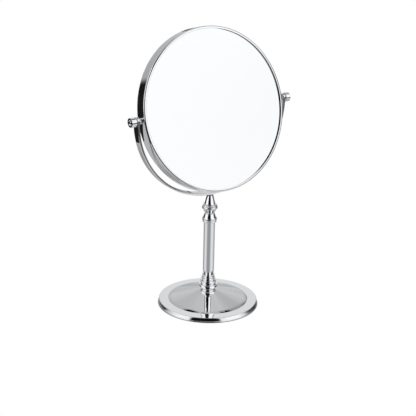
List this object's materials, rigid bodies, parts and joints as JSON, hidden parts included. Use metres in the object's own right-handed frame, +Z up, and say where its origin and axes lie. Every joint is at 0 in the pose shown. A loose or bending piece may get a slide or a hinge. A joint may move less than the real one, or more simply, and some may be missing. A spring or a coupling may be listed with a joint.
{
  "type": "countertop mirror",
  "caption": "Round chromed vanity mirror, glazed front and back, that tilts in a half-ring yoke on a turned column with a weighted round base.",
  "frame": {"origin": "middle of the base's footprint on the table, on the column's axis", "axes": "+Z up along the column, -Y towards the user in front of the glass, X along the tilt pivot"},
  "size_m": [0.2382, 0.1294, 0.3644],
  "materials": {
    "chrome": "polished chrome plate",
    "iron": "rough cast, hidden in the base",
    "zinc_steel": "zinc plated",
    "rubber": "matt black",
    "mirror_glass": "silvered glass",
    "tray_plastic": "moulded, hidden in the head",
    "foam": "foam sheet, hidden in the head",
    "nylon": "natural nylon"
  },
  "bodies": {
    "stand": {"base_shell": "chrome", "base_weight": "iron", "base_plate": "zinc_steel", "foot_pad": "rubber", "tie_rod": "zinc_steel", "rod_nut": "zinc_steel", "rod_washer": "zinc_steel", "lower_collar": "chrome", "column_tube": "chrome", "neck_finial": "chrome", "yoke_cone": "chrome", "yoke": "chrome", "yoke_screw": "zinc_steel"},
    "head": {"rim_band": "chrome", "front_bezel": "chrome", "back_bezel": "chrome", "front_mirror": "mirror_glass", "back_mirror": "mirror_glass", "core_tray": "tray_plastic", "front_pad": "foam", "back_pad": "foam", "pivot_studs": "zinc_steel", "stud_nuts": "zinc_steel", "spacer_bushes": "chrome", "friction_washers": "nylon"},
    "knob_left": {"knob_left": "chrome"},
    "knob_right": {"knob_right": "chrome"}
  },
  "joints": [
    {"name": "head_tilt", "type": "hinge", "parent": "stand", "child": "head", "pos_m": [0, 0, 0.2632], "axis": [1, 0, 0], "continuous": true},
    {"name": "knob_left_turn", "type": "hinge", "parent": "head", "child": "knob_left", "pos_m": [-0.1152, 0, 0.2632], "axis": [-1, 0, 0], "range_deg": [0, 360]},
    {"name": "knob_right_turn", "type": "hinge", "parent": "head", "child": "knob_right", "pos_m": [0.1152, 0, 0.2632], "axis": [1, 0, 0], "range_deg": [0, 360]}
  ]
}
